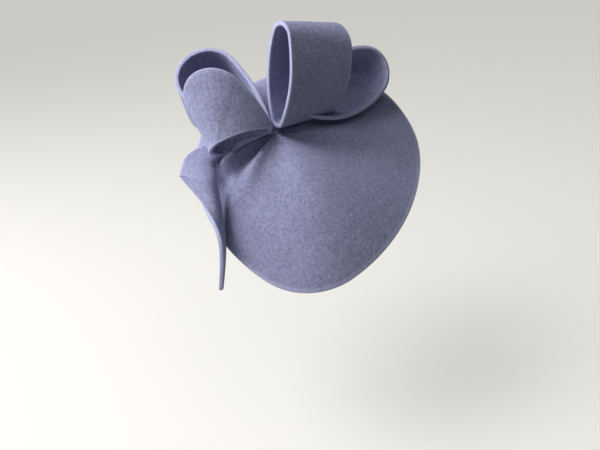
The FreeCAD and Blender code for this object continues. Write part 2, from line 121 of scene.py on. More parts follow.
floor_mesh = bpy.data.meshes.new("studio_floor")
floor_mesh.from_pydata([(-8, -4, 0), (8, -4, 0), (8, 12, 0), (-8, 12, 0)], [], [(0, 1, 2, 3)])
floor = bpy.data.objects.new("studio_floor", floor_mesh)
bpy.context.scene.collection.objects.link(floor)
floor.location.z = -FLOOR_DEPTH
pale, pale_tree, pale_shader = new_material("studio_pale")
pale_shader.inputs["Base Color"].default_value = linear(170, 168, 164)
pale_shader.inputs["Roughness"].default_value = 0.8
to_camera = pale_tree.nodes.new("ShaderNodeLightPath")
glow = pale_tree.nodes.new("ShaderNodeMath")
glow.operation = "MULTIPLY"
glow.inputs[1].default_value = FLOOR_GLOW
pale_tree.links.new(to_camera.outputs["Is Camera Ray"], glow.inputs[0])
pale_tree.links.new(glow.outputs[0], pale_shader.inputs["Emission Strength"])
pale_shader.inputs["Emission Color"].default_value = linear(236, 235, 230)
floor_mesh.materials.append(pale)
print("floor at", round(floor.location.z, 3), "m")

# %% Lamps and world
def area_lamp(name, heading, lift, away, width, power, colour):
    """A square soft lamp that points at the hat, placed by its heading and lift from there."""
    a, b = math.radians(heading), math.radians(lift)
    outward = Vector((math.cos(a) * math.cos(b), math.sin(a) * math.cos(b), math.sin(b)))
    data = bpy.data.lights.new(name, "AREA")
    data.shape = "SQUARE"
    data.size = width
    data.energy = power
    data.color = colour
    lamp = bpy.data.objects.new(name, data)
    bpy.context.scene.collection.objects.link(lamp)
    lamp.location = HAT_MIDDLE + outward * away
    lamp.rotation_euler = outward.to_track_quat("Z", "Y").to_euler()
    return lamp


HAT_MIDDLE = (cad_box[0] + cad_box[1]) / 2
area_lamp("window_front_lamp", 210, 45, 1.3, 0.75, 9.5, (1.0, 0.99, 0.97))
area_lamp("window_top_lamp", 192, 56, 1.3, 0.75, 12.0, (1.0, 0.99, 0.97))
area_lamp("window_low_lamp", 180, 8, 1.3, 0.75, 11.0, (1.0, 0.99, 0.97))
area_lamp("room_lamp", 290, 60, 1.3, 0.9, 2.4, (1.0, 0.98, 0.95))

world = bpy.data.worlds.new("studio_world")
bpy.context.scene.world = world
world.use_nodes = True
sky = world.node_tree
sky.nodes.clear()
sky_output = sky.nodes.new("ShaderNodeOutputWorld")
sky_mix = sky.nodes.new("ShaderNodeMixShader")
sky_light = sky.nodes.new("ShaderNodeBackground")
sky_light.inputs["Color"].default_value = (0.93, 0.95, 1.0, 1)
sky_light.inputs["Strength"].default_value = 0.03
sky_seen = sky.nodes.new("ShaderNodeBackground")
sky_seen.inputs["Color"].default_value = (1, 1, 1, 1)
sky_seen.inputs["Strength"].default_value = 1.0
ray = sky.nodes.new("ShaderNodeLightPath")
seen = sky.nodes.new("ShaderNodeMath")
seen.operation = "MAXIMUM"
seen_too = sky.nodes.new("ShaderNodeMath")
seen_too.operation = "MAXIMUM"
sky.links.new(ray.outputs["Is Camera Ray"], seen.inputs[0])
sky.links.new(ray.outputs["Is Glossy Ray"], seen.inputs[1])
sky.links.new(seen.outputs[0], seen_too.inputs[0])
sky.links.new(ray.outputs["Is Transmission Ray"], seen_too.inputs[1])
sky.links.new(seen_too.outputs[0], sky_mix.inputs["Fac"])
sky.links.new(sky_light.outputs[0], sky_mix.inputs[1])
sky.links.new(sky_seen.outputs[0], sky_mix.inputs[2])
sky.links.new(sky_mix.outputs[0], sky_output.inputs["Surface"])
bpy.context.scene.view_settings.view_transform = "Standard"

# %% [markdown]
# ## Sizes
# The hat is drawn flat, as a milliner would draw it: the rim lies level and the crown rises.
# At the end every point is tipped forward, which is how the hat sits on a head.
# The lengths are those of the solid model, in millimetres, so each piece lands on its solid.

# %% Named sizes and the way from the flat drawing to the worn place
FELT = 3.2
SEAM = 0.3
TIP_FORWARD = math.radians(38)
BRIM = (213, 93, 57, 146)
BRIM_TURN = math.radians(90 - 2.8)
CROWN_RISE = 42
CROWN_TOP = np.array((-21.5, 12.0))
KNOT = np.array((-21.5, 12.0, 45.0))


def worn(points):
    """Tips points of the flat drawing forward and turns millimetres into metres."""
    points = np.asarray(points, float)
    c, s = math.cos(TIP_FORWARD), math.sin(TIP_FORWARD)
    x, y, z = points[..., 0], points[..., 1], points[..., 2]
    return np.stack([x, c * y - s * z, s * y + c * z], axis=-1) / 1000


def direction(heading, lift):
    """A unit vector from a heading about the crown's axis and a lift above the rim, in degrees."""
    a, b = math.radians(heading), math.radians(lift)
    return np.array((math.cos(a) * math.cos(b), math.sin(a) * math.cos(b), math.sin(b)))


print("the knot is worn at", worn(KNOT).round(4))

# %% [markdown]
# ## Egg outlines
# The brim and the loops all follow one simple outline: an egg of four arcs that run into each
# other smoothly. Working from arcs keeps the curve fair, where points set by hand would wobble.

# %% Egg outline
def egg_arcs(length, end_radius, tip_radius, side_radius):
    """Centre, radius, start and end angle of the four arcs. The small end's tip is the origin."""
    span = length - end_radius - tip_radius
    to_tip, to_end = side_radius - tip_radius, side_radius - end_radius
    along = (to_tip ** 2 - to_end ** 2 + span ** 2) / (2 * span)
    below = math.sqrt(to_tip ** 2 - along ** 2)
    end_angle, tip_angle = math.atan2(below, span - along), math.atan2(below, -along)
    full = 2 * math.pi
    return [
        ((length - end_radius, 0), end_radius, -end_angle, end_angle),
        ((tip_radius + along, -below), side_radius, end_angle, tip_angle),
        ((tip_radius, 0), tip_radius, tip_angle, full - tip_angle),
        ((tip_radius + along, below), side_radius, full - tip_angle, full - end_angle),
    ]


def egg_ring(sizes, inset, counts=(64, 56, 28, 56)):
    """Points round an egg that is inset, starting at the end arc, in its own plane."""
    length, end_radius, tip_radius, side_radius = sizes
    arcs = egg_arcs(length - 2 * inset, end_radius - inset, tip_radius - inset, side_radius - inset)
    ring = []
    for (centre, radius, start, end), count in zip(arcs, counts):
        for angle in np.linspace(start, end, count, endpoint=False):
            x = centre[0] + inset + radius * math.cos(angle)
            ring.append((x, centre[1] + radius * math.sin(angle)))
    return np.array(ring)


brim_walk = egg_ring(BRIM, 0)
print("brim is", np.ptp(brim_walk, axis=0).round(1), "mm long and wide")

# %% [markdown]
# ## The crown's surface
# The felt is one continuous surface: a soft cone from the pinch under the bow to the rim, with a
# few rounded folds that fan out from the pinch. It is written as one function of place, so the
# base, the loops that lie on it and the ribbon beneath it all agree.

# %% Height of the felt
FOLDS = [
    # heading, half spread, height, how late the fold peaks on its way to the rim
    (34, 24, 8.0, 3.0),
    (20, 9, -4.0, 1.6),
    (5, 9, 4.5, 1.0),
    (-10, 14, -6.0, 0.45),
    (-57, 26, 6.0, 0.8),
    (-92, 16, -2.0, 0.8),
    (-128, 11, 5.5, 0.7),
    (-149, 10, -8.0, 0.5),
    (-168, 14, 4.0, 1.2),
    (-127, 12, -4.0, 4.0),
]
FULLNESS, FULLNESS_SWING, FULLEST = 0.55, 0.30, math.radians(60)
PEAK_ROUNDING = 0.05


def rim_reach(angle):
    """Distance from the crown's top to the brim's edge, for an array of angles."""
    angle = np.asarray(angle, float)
    ray_x, ray_y = np.cos(angle), np.sin(angle)
    reach = np.full(angle.shape, np.nan)
    c, s = math.cos(BRIM_TURN), math.sin(BRIM_TURN)
    for centre, radius, start, end in egg_arcs(*BRIM):
        x, y = centre[0] - BRIM[0] / 2, centre[1]
        offset = CROWN_TOP - np.array((c * x - s * y, s * x + c * y))
        along = offset[0] * ray_x + offset[1] * ray_y
        inside = along ** 2 - offset @ offset + radius ** 2
        distance = np.sqrt(np.maximum(inside, 0)) - along
        hit = np.arctan2(offset[1] + distance * ray_y, offset[0] + distance * ray_x)
        past = (hit - start - BRIM_TURN) % (2 * math.pi)
        good = (inside > 0) & (distance > 0) & (past <= end - start + 1e-6)
        reach = np.where(good & np.isnan(reach), distance, reach)
    return reach


def crown_height(x, y):
    """Height of the felt's upper side above the rim's plane."""
    across, back = np.asarray(x, float) - CROWN_TOP[0], np.asarray(y, float) - CROWN_TOP[1]
    angle = np.arctan2(back, across)
    way = np.hypot(across, back) / rim_reach(angle)
    way = np.sqrt(way ** 2 + PEAK_ROUNDING ** 2) - PEAK_ROUNDING
    steep = FULLNESS + FULLNESS_SWING * np.cos(angle - FULLEST)
    height = CROWN_RISE * (1 - steep * way - (1 - steep) * way ** 2)
    for heading, spread, amount, late in FOLDS:
        turn = (np.degrees(angle) - heading + 180) % 360 - 180
        peak = (late / (late + 1)) ** late / (late + 1)
        height += amount * np.exp(-(turn / spread) ** 2) * way ** late * (1 - way) / peak
    return height


def slant(x, y):
    """How much longer a vertical gap is than the same gap square to the felt."""
    step = 1.0
    slope_x = (crown_height(x + step, y) - crown_height(x - step, y)) / (2 * step)
    slope_y = (crown_height(x, y + step) - crown_height(x, y - step)) / (2 * step)
    return np.sqrt(1 + slope_x ** 2 + slope_y ** 2)


print("the felt rises", float(crown_height(*CROWN_TOP)), "mm")

# %% [markdown]
# ## Felt, the material
# Felt is a mat of wool fibres, not a weave. Seen close it is mottled, with short fibres that catch
# the light at grazing angles. Three layers of noise give the mottle, the nap and the slow cloudy
# changes, a sheen gives the soft bright rim, and a mesh attribute called cut_edge tells the
# material where the sheet was cut, so that every cut edge is painted paler: a painted highlight
# for the light that the cut edges catch.

# %% Felt material
# The third scale sets the flecks that break up the painted highlight on the cut edges.
MOTTLE_SCALE, CLOUD_SCALE, EDGE_HIGHLIGHT_FLECK_SCALE = 480, 32, 900
NAP_SCALE, DENT_SCALE = 900, 230


def grey(level):
    """One grey as a shader colour."""
    return (level, level, level, 1)


def noise(tree, scale, detail, roughness, stretch=None):
    """A noise texture on the object's own coordinates, in metres."""
    place = tree.nodes.new("ShaderNodeTexCoord")
    texture = tree.nodes.new("ShaderNodeTexNoise")
    texture.inputs["Scale"].default_value = scale
    texture.inputs["Detail"].default_value = detail
    texture.inputs["Roughness"].default_value = roughness
    source = place.outputs["Object"]
    if stretch:
        mapping = tree.nodes.new("ShaderNodeMapping")
        mapping.inputs["Scale"].default_value = stretch
        tree.links.new(source, mapping.inputs["Vector"])
        source = mapping.outputs["Vector"]
    tree.links.new(source, texture.inputs["Vector"])
    return texture.outputs["Fac"]


def ramp(tree, source, stops):
    """A colour ramp from (place, colour) stops."""
    node = tree.nodes.new("ShaderNodeValToRGB")
    elements = node.color_ramp.elements
    while len(elements) < len(stops):
        elements.new(0.5)
    for element, (place, colour) in zip(elements, stops):
        element.position, element.color = place, colour
    tree.links.new(source, node.inputs["Fac"])
    return node.outputs["Color"]


def mix_colour(tree, factor, first, second, kind="MIX"):
    """Mixes two colours. The factor is a socket or a number."""
    node = tree.nodes.new("ShaderNodeMix")
    node.data_type = "RGBA"
    node.blend_type = kind
    for value, socket in ((factor, node.inputs[0]), (first, node.inputs[6]), (second, node.inputs[7])):
        if isinstance(value, bpy.types.NodeSocket):
            tree.links.new(value, socket)
        else:
            socket.default_value = value
    return node.outputs[2]


def bump(tree, height, strength, distance, under=None):
    """A bump from a height, on top of another one if given."""
    node = tree.nodes.new("ShaderNodeBump")
    node.inputs["Strength"].default_value = strength
    node.inputs["Distance"].default_value = distance
    tree.links.new(height, node.inputs["Height"])
    if under is not None:
        tree.links.new(under, node.inputs["Normal"])
    return node.outputs["Normal"]


def felt_material(name, wool):
    """Stiffened wool felt in one colour."""
    material, tree, shader = new_material(name)
    dark = [part * 0.72 for part in wool[:3]] + [1]
    light = [min(1, part * 1.26 + 0.015) for part in wool[:3]] + [1]
    mottle = ramp(tree, noise(tree, MOTTLE_SCALE, 4, 0.7), [(0.32, dark), (0.5, wool), (0.70, light)])
    cloud = ramp(tree, noise(tree, CLOUD_SCALE, 2, 0.5),
                 [(0.3, (0.93, 0.93, 0.95, 1)), (0.7, (1.05, 1.05, 1.04, 1))])
    body = mix_colour(tree, 1.0, mottle, cloud, "MULTIPLY")
    # Painted highlight: every cut edge is painted paler, as far as cut_edge reaches, broken up by flecks of
    # noise.
    edge = tree.nodes.new("ShaderNodeAttribute")
    edge.attribute_name = "cut_edge"
    loose = tree.nodes.new("ShaderNodeMath")
    loose.operation = "MULTIPLY"
    tree.links.new(edge.outputs["Fac"], loose.inputs[0])
    edge_highlight_flecks = ramp(tree, noise(tree, EDGE_HIGHLIGHT_FLECK_SCALE, 2, 0.6), [(0.25, grey(0.3)), (0.6, grey(0.85))])
    tree.links.new(edge_highlight_flecks, loose.inputs[1])
    painted_edge_highlight = [min(1, part * 1.45 + 0.08) for part in wool[:3]] + [1]
    coloured = mix_colour(tree, loose.outputs[0], body, painted_edge_highlight)
    tree.links.new(coloured, shader.inputs["Base Color"])
    shader.inputs["Roughness"].default_value = 0.92
    shader.inputs["Specular IOR Level"].default_value = 0.22
    shader.inputs["Sheen Weight"].default_value = 0.4
    shader.inputs["Sheen Roughness"].default_value = 0.45
    shader.inputs["Sheen Tint"].default_value = linear(200, 204, 232)
    nap = bump(tree, noise(tree, NAP_SCALE, 3, 0.65), 0.6, 0.0005)
    dents = bump(tree, noise(tree, DENT_SCALE, 3, 0.6), 0.6, 0.0010, nap)
    tree.links.new(dents, shader.inputs["Normal"])
    return material


WOOL = linear(138, 141, 174)
felt = felt_material("wool_felt", WOOL)
print("felt material has", len(felt.node_tree.nodes), "nodes")

# %% [markdown]
# ## A sheet of felt as a mesh
# Every felt piece here is a sheet of one thickness with softly rounded cut edges. So one helper
# makes them all: it takes a grid of points on the middle of the sheet and each point's distance
# from the nearest cut, and thickens the grid both ways, less and less towards the cut. That gives
# clean four-sided faces all the way round, which a bevel on a thick block would not.

# %% Thicken a grid into felt
EDGE_ROUNDING = 0.9
# Width in millimetres of the painted highlight along every cut edge.
EDGE_HIGHLIGHT_WIDTH = 1.7
NEAR_CUT = np.array([0, 0.03, 0.12, 0.3, 0.6, 0.95])


def edge_steps(widths, step=1.6):
    """For each width of a strip, distances across it that lie close together near both cut edges."""
    widths = np.atleast_1d(widths)[:, None]
    near = NEAR_CUT * np.minimum(1, widths / 5)
    count = max(2, round(float(widths.mean()) / step))
    middle = np.linspace(0, 1, count + 1)[1:-1] * (widths - 2 * near[:, -1:]) + near[:, -1:]
    return np.concatenate([near, middle, widths - near[:, ::-1]], axis=1)


def normals_of(grid, closed):
    """Unit normals of a grid of points; closed says whether its first direction is a ring."""
    if closed:
        down = np.roll(grid, -1, axis=0) - np.roll(grid, 1, axis=0)
    else:
        down = np.gradient(grid, axis=0)
    normal = np.cross(down, np.gradient(grid, axis=1))
    length = np.linalg.norm(normal, axis=-1, keepdims=True)
    return normal / np.maximum(length, 1e-9)


def rounded(distance, rounding=EDGE_ROUNDING):
    """Share of the full thickness at a distance from a cut edge: 0 at the cut, 1 further in."""
    inward = np.clip(distance / rounding, 0, 1)
    return (1 - (1 - inward) ** 3) ** (1 / 3)


def felt_from_grid(name, middle, from_cut, closed, material, thick=FELT, sides=None):
    """A closed sheet: the grid thickened both ways, or two given sides. They meet at the cut edge."""
    rows, columns = middle.shape[:2]
    normal = normals_of(middle, closed)
    half = (thick / 2 * rounded(from_cut))[..., None]
    top, bottom = middle + normal * half, middle - normal * half
    if sides is not None:
        top, bottom = sides
    index = np.arange(rows * columns).reshape(rows, columns)
    meets = from_cut <= 1e-6
    below = index + rows * columns
    below[meets] = index[meets]
    points = worn(np.concatenate([top.reshape(-1, 3), bottom.reshape(-1, 3)]))
    faces = []
    for row in range(rows if closed else rows - 1):
        following = (row + 1) % rows
        for column in range(columns - 1):
            for side, turned in ((index, False), (below, True)):
                corners = [side[row, column], side[following, column],
                           side[following, column + 1], side[row, column + 1]]
                faces.append(corners[::-1] if turned else corners)
    mesh = bpy.data.meshes.new(name)
    mesh.from_pydata(points.tolist(), [], [[int(i) for i in face] for face in faces])
    # cut_edge is 1 at the cut and fades inwards; the felt material paints a highlight there.
    edge = mesh.attributes.new("cut_edge", "FLOAT", "POINT")
    share = np.clip(1 - from_cut / EDGE_HIGHLIGHT_WIDTH, 0, 1) ** 0.5
    edge.data.foreach_set("value", np.concatenate([share.ravel(), share.ravel()]).astype(np.float32))
    return settle(mesh, name, material)


def settle(mesh, name, material):
    """Drops unused points, turns the faces outwards and puts the piece on the hat."""
    tidy = bmesh.new()
    tidy.from_mesh(mesh)
    bmesh.ops.remove_doubles(tidy, verts=tidy.verts, dist=1e-7)
    loose = [v for v in tidy.verts if not v.link_faces]
    bmesh.ops.delete(tidy, geom=loose, context="VERTS")
    bmesh.ops.recalc_face_normals(tidy, faces=tidy.faces)
    tidy.to_mesh(mesh)
    tidy.free()
    mesh.shade_smooth()
    mesh.materials.append(material)
    piece = bpy.data.objects.new(name, mesh)
    bpy.context.scene.collection.objects.link(piece)
    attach(piece, "hat")
    return piece


def report(piece, node):
    """Prints how far a piece's box stands from its solid's box, in millimetres."""
    corners = np.array([v.co for v in piece.data.vertices])
    low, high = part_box(node)
    box = np.array([corners.min(0), corners.max(0)])
    away = np.abs(box - np.array([low, high])).max()
    print(f"{piece.name}: {len(piece.data.polygons)} faces, box within {away * 1000:.1f} mm of {node}")


print("edge rounding", EDGE_ROUNDING, "mm on felt", FELT, "mm thick")

# %% [markdown]
# ## The felt base
# The milliner steams a flat sheet of felt over a block, pinches it at the top and cuts the brim.
# The mesh follows the same idea: rings of points run out from the pinch to the cut edge, so the
# folds, which fan out the same way, stay crisp. A slow hand-made unevenness is added last.

# %% Build the base
def uneven(points, amount, size):
    """A slow waviness, the same at each run."""
    x, y, z = points[..., 0] / size, points[..., 1] / size, points[..., 2] / size
    return amount * (np.sin(1.7 * x + 0.6) * np.sin(1.3 * y + 2.1) + np.sin(2.3 * z + 1.1 * x) * 0.5)


def make_felt_base():
    """The blocked base, as rings of points from the cut edge in to the pinch."""
    angles = np.linspace(0, 2 * math.pi, 420, endpoint=False)
    reach = rim_reach(angles)[:, None]
    inner = np.linspace(1.0, 0.004, 84)[None, 1:] * (reach - NEAR_CUT[-1])
    radius = np.concatenate([reach - NEAR_CUT[None, :], inner], axis=1)
    x = CROWN_TOP[0] + radius * np.cos(angles)[:, None]
    y = CROWN_TOP[1] + radius * np.sin(angles)[:, None]
    top = np.stack([x, y, crown_height(x, y)], axis=-1)
    top[..., 2] += uneven(top, 0.18, 17)
    down = normals_of(top, True)
    down *= np.sign(-down[..., 2:3])
    middle = top + down * FELT / 2
    inwards = np.concatenate([NEAR_CUT, NEAR_CUT[-1] + np.arange(inner.shape[1])])
    from_cut = np.repeat(inwards[None, :], len(angles), 0)
    return felt_from_grid("felt_base_sheet", middle, from_cut, True, felt)


felt_base = make_felt_base()
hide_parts("felt_base")
report(felt_base, "felt_base")

# %% [markdown]
# ## The bow's loops
# Each loop is a strip of the same felt, bent round to an egg-shaped ring and sewn down at its
# small end. The mesh walks round the ring and across the strip, from a near edge to a far edge.
# Three loops fan: their two edges are different eggs. The large left loop stands on its edge, so
# its strip ends where it meets the crown. The right loop leans back and lies on the crown.

# %% Loop helpers
LOOP_SIZES = {
    "centre": (80.5, 11.5, 7.7, 92),
    "centre_far": (74, 19, 7.7, 63.5),
    "right": (94.5, 21.7, 6, 72),
    "right_far": (76, 19, 6, 70),
    "left": (95, 26, 5.7, 164),
    "low": (52, 13.5, 4, 40),
    "high": (71, 26, 5, 110),
}
LOOP_PLACES = {
    "centre": ((-0.9, 1.8, 2), (77.4, 56.7), (28.6, -23.5)),
    "centre_far": ((39.9, 26.8, -18.5), (70.3, 59.9), (28.6, -23.5)),
    "right": ((16, 13.6, 6.9), (34.1, -7.5), (132.8, -49)),
    "right_far": ((10.6, 19.4, -2.2), (48, -22.3), (159.4, -41.6)),
    "left": ((-5.4, 0.7, 1.9), (133.5, 6), (86.4, -81.2)),
    "low": ((-3, -1, 5), (-162, -6), (109, 10)),
    "high": ((-4.4, 1.5, 8), (159, 21), (78, -22)),
}
LEFT_STRIP_WIDTH = 50


def loop_axes(loop):
    """The pinch, the way out along the loop, the way up between its runs, and the strip's width."""
    pinch, out, width = LOOP_PLACES[loop]
    along, across = direction(*out), direction(*width)
    across = across - along * (across @ along)
    across /= np.linalg.norm(across)
    return KNOT + np.array(pinch), along, np.cross(across, along), across


def edge_ring(loop):
    """The middle line of a loop's felt at one edge of the strip."""
    pinch, along, up, across = loop_axes(loop)
    ring = egg_ring(LOOP_SIZES[loop], FELT / 2)
    return pinch + ring[:, :1] * along + ring[:, 1:] * up


def past_rim(points):
    """How far points lie outside the rim, as seen from above the crown."""
    x, y = points[..., 0] - CROWN_TOP[0], points[..., 1] - CROWN_TOP[1]
    return np.hypot(x, y) - rim_reach(np.arctan2(y, x))


def above_base(points):
    """Height above the crown for the middle of a felt layer, less the room that it needs there."""
    x, y = points[..., 0], points[..., 1]
    room = (FELT / 2 + SEAM) * slant(x, y)
    return np.where(past_rim(points) > 3, 50.0, points[..., 2] - crown_height(x, y) - room)


def rest_on_base(points, most=40.0):
    """Lifts points that would sink into the crown by up to most, and less and less at the rim."""
    gap = above_base(points)
    lift = np.where(gap > 0, 0, -gap) + 0.5 * np.exp(-np.abs(gap))
    lift *= np.clip((gap + most) / 4, 0, 1) * np.clip((3 - past_rim(points)) / 8, 0, 1)
    points = points.copy()
    points[..., 2] += np.where(gap < 4, lift, 0)
    return points


def smooth_ring(values, reach):
    """Averages a ring of numbers with its neighbours, several times over."""
    for _ in range(reach):
        values = (np.roll(values, 1) + 2 * values + np.roll(values, -1)) / 4
    return values


def share_to_base(near, far):
    """For each place round a loop, the share of the strip's width at which it meets the crown."""
    shares = np.linspace(0, 1, 241)
    lines = near[:, None, :] * (1 - shares[None, :, None]) + far[:, None, :] * shares[None, :, None]
    sunk = above_base(lines) < 0
    first = np.where(sunk.any(axis=1), sunk.argmax(axis=1), len(shares) - 1)
    return smooth_ring(shares[first], 6)


def make_loop(name, node, first, second, stands):
    """A loop between two edge rings; second is None for a strip of even width."""
    near = edge_ring(first)
    far = edge_ring(second) if second else near + loop_axes(first)[3] * LEFT_STRIP_WIDTH
    full = np.linalg.norm(far - near, axis=1)
    ends = share_to_base(near, far) if stands else np.ones(len(near))
    width = np.maximum(full * ends, 4.0)
    across = edge_steps(width)
    share = (across / full[:, None])[..., None]
    middle = near[:, None, :] * (1 - share) + far[:, None, :] * share
    middle = middle + normals_of(middle, True) * uneven(middle, 0.22, 13)[..., None]
    middle = rest_on_base(middle)
    from_cut = np.minimum(across, width[:, None] - across)
    piece = felt_from_grid(name, middle, from_cut, True, felt)
    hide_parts(node)
    report(piece, node)
    stretch = np.linalg.norm(np.roll(near, -1, axis=0) - near, axis=1)
    area = float((stretch * width).sum())
    print(f"{name}: cut from a strip {width.max():.0f} x {stretch.sum():.0f} mm, {area / 100:.0f} cm2")
    return piece, (float(width.max()) / 1000, float(stretch.sum()) / 1000), area / 1e6


# %% Build the four loops
centre_loop = make_loop("bow_centre_loop", "loop_centre", "centre", "centre_far", False)
right_loop = make_loop("bow_right_loop", "loop_right", "right", "right_far", False)
left_loop = make_loop("bow_left_loop", "loop_left_large", "left", None, True)
small_loop = make_loop("bow_small_loop", "loop_left_small", "low", "high", False)

# %% [markdown]
# ## The tail
# The loose end of the strip hangs over the left side of the base and ends in a slanted point. Each
# of its two long edges is a soft curve set by eight points, measured from the knot. The cut edge
# has a double point, which makes its one sharp corner. Between the edges the felt bulges outwards.

# %% Tail edges and spline helpers
TAIL_BASE_SIDE = [
    (-15, -1, -6), (-52, -6, -26), (-49, -25, -22), (-49, -32, -24),
    (-47, -46, -28), (-45, -62, -42), (-46, -85, -50), (-48, -108, -48),
]
TAIL_CUT_EDGE = [
    (-21, 9, -8), (-72, 2, -15), (-78, -25, -15), (-78, -26, -15),
    (-62, -48, -14), (-48, -70, -14), (-43, -90, -22), (-48, -111, -43),
]
TAIL_BULGE = (4, -7, 13)


def spline_weights(count, degree, places):
    """How much each of count control points pulls at each place from 0 to 1."""
    spans = count - degree
    knots = np.concatenate([[0] * degree, np.arange(spans + 1), [spans] * degree]) / spans
    places = np.clip(places, 0, 1 - 1e-9)
    weights = [((knots[i] <= places) & (places < knots[i + 1])).astype(float) for i in range(len(knots) - 1)]
    for order in range(1, degree + 1):
        following = []
        for i in range(len(weights) - 1):
            total = np.zeros_like(places)
            if knots[i + order] > knots[i]:
                total += (places - knots[i]) / (knots[i + order] - knots[i]) * weights[i]
            if knots[i + order + 1] > knots[i + 1]:
                total += ((knots[i + order + 1] - places)
                          / (knots[i + order + 1] - knots[i + 1]) * weights[i + 1])
            following.append(total)
        weights = following
    return np.stack(weights, axis=1)


def from_ends(grid, axis):
    """Distance along a grid's lines from the nearer end."""
    steps = np.linalg.norm(np.diff(grid, axis=axis), axis=-1)
    walked = np.concatenate([np.zeros_like(np.take(steps, [0], axis)), np.cumsum(steps, axis)], axis)
    return np.minimum(walked, np.take(walked, [-1], axis) - walked)


# %% Build the tail
def make_tail():
    """The loose end: a bulging sheet between the side by the base and the cut edge."""
    down = 0.5 - 0.5 * np.cos(np.linspace(0, math.pi, 120))
    across = 0.5 - 0.5 * np.cos(np.linspace(0, math.pi, 44))
    weights = spline_weights(len(TAIL_CUT_EDGE), 2, down)
    base_side = weights @ (KNOT + np.array(TAIL_BASE_SIDE))
    cut_edge = weights @ (KNOT + np.array(TAIL_CUT_EDGE))
    share = across[None, :, None]
    flat = base_side[:, None] * (1 - share) + cut_edge[:, None] * share
    bulge = np.outer(np.sin(math.pi * down ** 0.75) ** 1.5, np.sin(math.pi * across ** 0.6))
    face = flat + bulge[..., None] * np.array(TAIL_BULGE)
    middle = face + normals_of(face, False) * FELT / 2
    middle = rest_on_base(middle, most=6.0)
    from_cut = np.minimum(from_ends(middle, 0), from_ends(middle, 1))
    piece = felt_from_grid("bow_tail", middle, from_cut, False, felt)
    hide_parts("tail")
    report(piece, "tail")
    return piece


tail = make_tail()

# %% [markdown]
# ## Petersham band
# A ribbed ribbon is sewn inside the crown, on edge, so that it grips the head. It is a thin upright
# strip round an oval whose upper edge follows the felt. The ribs are too fine to model one by one,
# so they come from a wave in the material that follows the ribbon's own length. The wave bumps the
# surface and also paints the grooves between the ribs darker, as painted shade.

# %% Ribbon material
RIB_WAVE_SCALE = 58.825


def ribbon_material(name, colour):
    """Ribbed petersham: fine ribs across the ribbon."""
    material, tree, shader = new_material(name)
    measured = tree.nodes.new("ShaderNodeUVMap")
    measured.uv_map = "ribbon"
    wave = tree.nodes.new("ShaderNodeTexWave")
    wave.wave_type, wave.bands_direction, wave.wave_profile = "BANDS", "X", "SIN"
    wave.inputs["Scale"].default_value = RIB_WAVE_SCALE
    wave.inputs["Distortion"].default_value = 0.4
    wave.inputs["Detail"].default_value = 1.0
    tree.links.new(measured.outputs["UV"], wave.inputs["Vector"])
    # Painted shade: the grooves between the ribs are painted darker, alongside the bump from the same wave.
    dark = [part * 0.72 for part in colour[:3]] + [1]
    ribs = ramp(tree, wave.outputs["Fac"], [(0.15, dark), (0.6, colour)])
    cloud = ramp(tree, noise(tree, 140, 2, 0.5),
                 [(0.3, (0.9, 0.9, 0.92, 1)), (0.7, (1.06, 1.06, 1.05, 1))])
    tree.links.new(mix_colour(tree, 1.0, ribs, cloud, "MULTIPLY"), shader.inputs["Base Color"])
    shader.inputs["Roughness"].default_value = 0.6
    shader.inputs["Sheen Weight"].default_value = 0.3
    tree.links.new(bump(tree, wave.outputs["Fac"], 0.8, 0.0003), shader.inputs["Normal"])
    return material


petersham = ribbon_material("petersham_ribbon", linear(112, 115, 150))
print("ribbon material ready")

# %% Build the band
BAND = (128, 56, 50, 88)
BAND_TALL, BAND_THICK = 14, 0.9
BAND_MEAN_RADIUS = 0.0585


def make_band():
    """The ribbon on edge, with its length from one turn of its oval."""
    ring = egg_ring(BAND, BAND_THICK / 2, (150, 120, 110, 120))
    x, y = -ring[:, 1], ring[:, 0] - BAND[0] / 2
    length = np.concatenate([[0], np.cumsum(np.hypot(np.diff(x), np.diff(y)))])
    slope = slant(x, y)
    top = crown_height(x, y) - (FELT + SEAM) * slope
    bottom = crown_height(x, y) - (FELT + SEAM + BAND_TALL) * slope
    share = np.array([0, 0.02, 0.06, 0.2, 0.35, 0.5, 0.65, 0.8, 0.94, 0.98, 1.0])
    height = top[:, None] * (1 - share) + bottom[:, None] * share
    spread = 0.25 * np.sin(length / 23)[:, None] * np.sin(share * math.pi)
    wide = np.ones((1, len(share)))
    middle = np.stack([x[:, None] * wide, y[:, None] * wide, height], axis=-1)
    middle += normals_of(middle, True) * spread[..., None]
    from_cut = np.repeat((np.minimum(share, 1 - share) * BAND_TALL)[None, :], len(x), 0)
    piece = felt_from_grid("petersham_ribbon_band", middle, from_cut, True, petersham, thick=BAND_THICK)
    layer = piece.data.uv_layers.new(name="ribbon")
    corner_vertices = np.zeros(len(piece.data.loops), int)
    piece.data.loops.foreach_get("vertex_index", corner_vertices)
    flat = np.array([v.co for v in piece.data.vertices])
    c, s = math.cos(TIP_FORWARD), math.sin(TIP_FORWARD)
    back = c * flat[:, 1] + s * flat[:, 2]
    around = np.arctan2(flat[:, 0], back) * BAND_MEAN_RADIUS
    uv = np.stack([around, -s * flat[:, 1] + c * flat[:, 2]], axis=1)[corner_vertices]
    layer.data.foreach_set("uv", uv.astype(np.float32).ravel())
    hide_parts("petersham_band")
    report(piece, "petersham_band")
    return piece, length[-1] / 1000


band, band_length = make_band()

# %% [markdown]
# ## Comb, tab and thread
# The comb's wire keeps its solid, because a round wire with balled tips is already right, and gets
# a metal finish. The tab that carries it is a folded piece of felt. The thread loops that hold the
# spine are two strands twisted together, so they get a real twist in the mesh.

# %% Tab under the crown
COMB_MIDDLE = np.array((-1.0, -42.0))
COMB_SLOPE = math.radians(-18)
TAB = (46, 13, 6)


